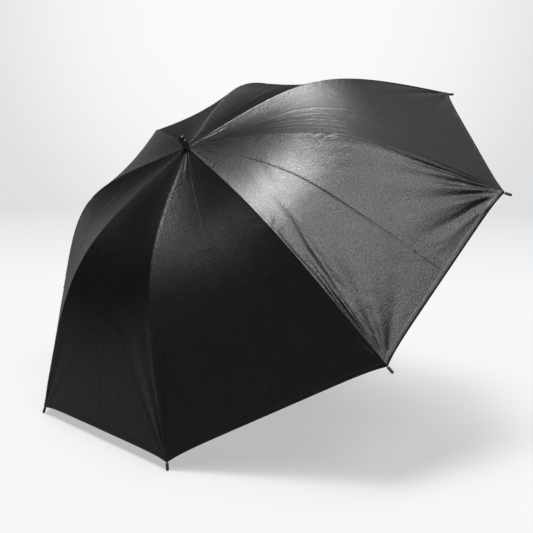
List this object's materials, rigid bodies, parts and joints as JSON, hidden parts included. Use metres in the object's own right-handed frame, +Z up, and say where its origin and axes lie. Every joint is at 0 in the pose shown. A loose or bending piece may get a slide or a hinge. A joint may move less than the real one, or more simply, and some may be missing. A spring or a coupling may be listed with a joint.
{
  "type": "reflector umbrella",
  "caption": "Studio reflector umbrella with a bent-rib cloth dome, a straight metal shaft, hinged stretchers, a sliding runner and a sprung catch that holds it open.",
  "frame": {"origin": "on the floor under the middle of the umbrella's bounding box, as it stands on two rib tips and the shaft's end", "axes": "+Z up; +X along the line of the two tips that it stands on, its longest side; the apex points towards -Y and up, and the shaft's end towards +Y and down"},
  "size_m": [0.6814, 0.5236, 0.454],
  "materials": {
    "canopy_cloth": "closely woven black satin outside with a silver coating inside",
    "rib_steel": "bright plated pressed steel",
    "shaft_steel": "polished plated tube, lightly scuffed",
    "wire_steel": "drawn wire",
    "spring_steel": "bright spring strip",
    "black_plastic": "moulded, satin",
    "ferrule_black": "moulded, glossy",
    "tip_plastic": "moulded, satin"
  },
  "bodies": {
    "shaft": {"shaft_tube": "shaft_steel", "end_plug": "black_plastic", "ferrule": "ferrule_black", "apex_rosette": "canopy_cloth", "crown": "black_plastic", "crown_wire": "wire_steel", "crown_pin": "wire_steel", "spring_anchor_pin": "wire_steel"},
    "runner": {"runner": "black_plastic", "runner_wire": "wire_steel"},
    "catch": {"catch_spring": "spring_steel"},
    "rib_1": {"rib_1": "rib_steel", "joiner_1": "rib_steel", "rivet_1": "wire_steel"},
    "rib_end_1": {"tip_1": "tip_plastic", "canopy_1": "canopy_cloth"},
    "stretcher_1": {"stretcher_1": "rib_steel"},
    "rib_2": {"rib_2": "rib_steel", "joiner_2": "rib_steel", "rivet_2": "wire_steel"},
    "rib_end_2": {"tip_2": "tip_plastic", "canopy_2": "canopy_cloth"},
    "stretcher_2": {"stretcher_2": "rib_steel"},
    "rib_3": {"rib_3": "rib_steel", "joiner_3": "rib_steel", "rivet_3": "wire_steel"},
    "rib_end_3": {"tip_3": "tip_plastic", "canopy_3": "canopy_cloth"},
    "stretcher_3": {"stretcher_3": "rib_steel"},
    "rib_4": {"rib_4": "rib_steel", "joiner_4": "rib_steel", "rivet_4": "wire_steel"},
    "rib_end_4": {"tip_4": "tip_plastic", "canopy_4": "canopy_cloth"},
    "stretcher_4": {"stretcher_4": "rib_steel"},
    "rib_5": {"rib_5": "rib_steel", "joiner_5": "rib_steel", "rivet_5": "wire_steel"},
    "rib_end_5": {"tip_5": "tip_plastic", "canopy_5": "canopy_cloth"},
    "stretcher_5": {"stretcher_5": "rib_steel"},
    "rib_6": {"rib_6": "rib_steel", "joiner_6": "rib_steel", "rivet_6": "wire_steel"},
    "rib_end_6": {"tip_6": "tip_plastic", "canopy_6": "canopy_cloth"},
    "stretcher_6": {"stretcher_6": "rib_steel"},
    "rib_7": {"rib_7": "rib_steel", "joiner_7": "rib_steel", "rivet_7": "wire_steel"},
    "rib_end_7": {"tip_7": "tip_plastic", "canopy_7": "canopy_cloth"},
    "stretcher_7": {"stretcher_7": "rib_steel"},
    "rib_8": {"rib_8": "rib_steel", "joiner_8": "rib_steel", "rivet_8": "wire_steel"},
    "rib_end_8": {"tip_8": "tip_plastic", "canopy_8": "canopy_cloth"},
    "stretcher_8": {"stretcher_8": "rib_steel"}
  },
  "joints": [
    {"name": "rib_1_hinge", "type": "hinge", "parent": "shaft", "child": "rib_1", "pos_m": [-0.00344, -0.12066, 0.35049], "axis": [0.9239, -0.2936, -0.2454], "range_deg": [0, 75.1], "deforming": ["canopy_1"]},
    {"name": "rib_2_hinge", "type": "hinge", "parent": "shaft", "child": "rib_2", "pos_m": [0.00344, -0.12066, 0.35049], "axis": [0.9239, 0.2936, 0.2454], "range_deg": [0, 75.1], "deforming": ["canopy_2"]},
    {"name": "rib_3_hinge", "type": "hinge", "parent": "shaft", "child": "rib_3", "pos_m": [0.00831, -0.11692, 0.35362], "axis": [0.3827, 0.7089, 0.5924], "range_deg": [0, 75.1], "deforming": ["canopy_3"]},
    {"name": "rib_4_hinge", "type": "hinge", "parent": "shaft", "child": "rib_4", "pos_m": [0.00831, -0.11164, 0.35803], "axis": [-0.3827, 0.7089, 0.5924], "range_deg": [0, 75.1], "deforming": ["canopy_4"]},
    {"name": "rib_5_hinge", "type": "hinge", "parent": "shaft", "child": "rib_5", "pos_m": [0.00344, -0.1079, 0.36116], "axis": [-0.9239, 0.2936, 0.2454], "range_deg": [0, 75.1], "deforming": ["canopy_5"]},
    {"name": "rib_6_hinge", "type": "hinge", "parent": "shaft", "child": "rib_6", "pos_m": [-0.00344, -0.1079, 0.36116], "axis": [-0.9239, -0.2936, -0.2454], "range_deg": [0, 75.1], "deforming": ["canopy_6"]},
    {"name": "rib_7_hinge", "type": "hinge", "parent": "shaft", "child": "rib_7", "pos_m": [-0.00831, -0.11164, 0.35803], "axis": [-0.3827, -0.7089, -0.5924], "range_deg": [0, 75.1], "deforming": ["canopy_7"]},
    {"name": "rib_8_hinge", "type": "hinge", "parent": "shaft", "child": "rib_8", "pos_m": [-0.00831, -0.11692, 0.35362], "axis": [0.3827, -0.7089, -0.5924], "range_deg": [0, 75.1], "deforming": ["canopy_8"]},
    {"name": "stretcher_1_hinge", "type": "hinge", "parent": "rib_1", "child": "stretcher_1", "pos_m": [-0.07398, -0.22756, 0.21286], "axis": [0.9239, -0.2936, -0.2454], "range_deg": [-150.2, 0]},
    {"name": "stretcher_2_hinge", "type": "hinge", "parent": "rib_2", "child": "stretcher_2", "pos_m": [0.07398, -0.22756, 0.21286], "axis": [0.9239, 0.2936, 0.2454], "range_deg": [-150.2, 0]},
    {"name": "stretcher_3_hinge", "type": "hinge", "parent": "rib_3", "child": "stretcher_3", "pos_m": [0.1786, -0.14728, 0.27995], "axis": [0.3827, 0.7089, 0.5924], "range_deg": [-150.2, 0]},
    {"name": "stretcher_4_hinge", "type": "hinge", "parent": "rib_4", "child": "stretcher_4", "pos_m": [0.1786, -0.03375, 0.37482], "axis": [-0.3827, 0.7089, 0.5924], "range_deg": [-150.2, 0]},
    {"name": "stretcher_5_hinge", "type": "hinge", "parent": "rib_5", "child": "stretcher_5", "pos_m": [0.07398, 0.04653, 0.44191], "axis": [-0.9239, 0.2936, 0.2454], "range_deg": [-150.2, 0]},
    {"name": "stretcher_6_hinge", "type": "hinge", "parent": "rib_6", "child": "stretcher_6", "pos_m": [-0.07398, 0.04653, 0.44191], "axis": [-0.9239, -0.2936, -0.2454], "range_deg": [-150.2, 0]},
    {"name": "stretcher_7_hinge", "type": "hinge", "parent": "rib_7", "child": "stretcher_7", "pos_m": [-0.1786, -0.03375, 0.37482], "axis": [-0.3827, -0.7089, -0.5924], "range_deg": [-150.2, 0]},
    {"name": "stretcher_8_hinge", "type": "hinge", "parent": "rib_8", "child": "stretcher_8", "pos_m": [-0.1786, -0.14728, 0.27995], "axis": [0.3827, -0.7089, -0.5924], "range_deg": [-150.2, 0]},
    {"name": "runner_hinge", "type": "hinge", "parent": "stretcher_1", "child": "runner", "pos_m": [-0.00344, -0.07313, 0.29361], "axis": [0.9239, -0.2936, -0.2454], "range_deg": [0, 75.1]},
    {"name": "rib_1_flex", "type": "hinge", "parent": "rib_1", "child": "rib_end_1", "pos_m": [-0.07398, -0.22756, 0.21286], "axis": [0.9239, -0.2936, -0.2454], "range_deg": [-28.25, 0], "deforming": ["rib_1"]},
    {"name": "rib_2_flex", "type": "hinge", "parent": "rib_2", "child": "rib_end_2", "pos_m": [0.07398, -0.22756, 0.21286], "axis": [0.9239, 0.2936, 0.2454], "range_deg": [-28.25, 0], "deforming": ["rib_2"]},
    {"name": "rib_3_flex", "type": "hinge", "parent": "rib_3", "child": "rib_end_3", "pos_m": [0.1786, -0.14728, 0.27995], "axis": [0.3827, 0.7089, 0.5924], "range_deg": [-28.25, 0], "deforming": ["rib_3"]},
    {"name": "rib_4_flex", "type": "hinge", "parent": "rib_4", "child": "rib_end_4", "pos_m": [0.1786, -0.03375, 0.37482], "axis": [-0.3827, 0.7089, 0.5924], "range_deg": [-28.25, 0], "deforming": ["rib_4"]},
    {"name": "rib_5_flex", "type": "hinge", "parent": "rib_5", "child": "rib_end_5", "pos_m": [0.07398, 0.04653, 0.44191], "axis": [-0.9239, 0.2936, 0.2454], "range_deg": [-28.25, 0], "deforming": ["rib_5"]},
    {"name": "rib_6_flex", "type": "hinge", "parent": "rib_6", "child": "rib_end_6", "pos_m": [-0.07398, 0.04653, 0.44191], "axis": [-0.9239, -0.2936, -0.2454], "range_deg": [-28.25, 0], "deforming": ["rib_6"]},
    {"name": "rib_7_flex", "type": "hinge", "parent": "rib_7", "child": "rib_end_7", "pos_m": [-0.1786, -0.03375, 0.37482], "axis": [-0.3827, -0.7089, -0.5924], "range_deg": [-28.25, 0], "deforming": ["rib_7"]},
    {"name": "rib_8_flex", "type": "hinge", "parent": "rib_8", "child": "rib_end_8", "pos_m": [-0.1786, -0.14728, 0.27995], "axis": [0.3827, -0.7089, -0.5924], "range_deg": [-28.25, 0], "deforming": ["rib_8"]},
    {"name": "catch_press", "type": "hinge", "parent": "shaft", "child": "catch", "pos_m": [0, -0.01937, 0.24536], "axis": [1, 0, 0], "range_deg": [0, 4], "stiffness_Nm_per_rad": 1, "springref_deg": -2.29, "deforming": ["catch_spring"]}
  ],
  "couplings": [
    {"joint": "rib_2_hinge", "follows": "rib_1_hinge", "ratio": 1},
    {"joint": "rib_3_hinge", "follows": "rib_1_hinge", "ratio": 1},
    {"joint": "rib_4_hinge", "follows": "rib_1_hinge", "ratio": 1},
    {"joint": "rib_5_hinge", "follows": "rib_1_hinge", "ratio": 1},
    {"joint": "rib_6_hinge", "follows": "rib_1_hinge", "ratio": 1},
    {"joint": "rib_7_hinge", "follows": "rib_1_hinge", "ratio": 1},
    {"joint": "rib_8_hinge", "follows": "rib_1_hinge", "ratio": 1},
    {"joint": "stretcher_1_hinge", "follows": "rib_1_hinge", "ratio": -2},
    {"joint": "stretcher_2_hinge", "follows": "rib_1_hinge", "ratio": -2},
    {"joint": "stretcher_3_hinge", "follows": "rib_1_hinge", "ratio": -2},
    {"joint": "stretcher_4_hinge", "follows": "rib_1_hinge", "ratio": -2},
    {"joint": "stretcher_5_hinge", "follows": "rib_1_hinge", "ratio": -2},
    {"joint": "stretcher_6_hinge", "follows": "rib_1_hinge", "ratio": -2},
    {"joint": "stretcher_7_hinge", "follows": "rib_1_hinge", "ratio": -2},
    {"joint": "stretcher_8_hinge", "follows": "rib_1_hinge", "ratio": -2},
    {"joint": "runner_hinge", "follows": "rib_1_hinge", "ratio": 1},
    {"joint": "rib_1_flex", "follows": "rib_1_hinge", "ratio": -0.3755},
    {"joint": "rib_2_flex", "follows": "rib_1_hinge", "ratio": -0.3755},
    {"joint": "rib_3_flex", "follows": "rib_1_hinge", "ratio": -0.3755},
    {"joint": "rib_4_flex", "follows": "rib_1_hinge", "ratio": -0.3755},
    {"joint": "rib_5_flex", "follows": "rib_1_hinge", "ratio": -0.3755},
    {"joint": "rib_6_flex", "follows": "rib_1_hinge", "ratio": -0.3755},
    {"joint": "rib_7_flex", "follows": "rib_1_hinge", "ratio": -0.3755},
    {"joint": "rib_8_flex", "follows": "rib_1_hinge", "ratio": -0.3755}
  ]
}
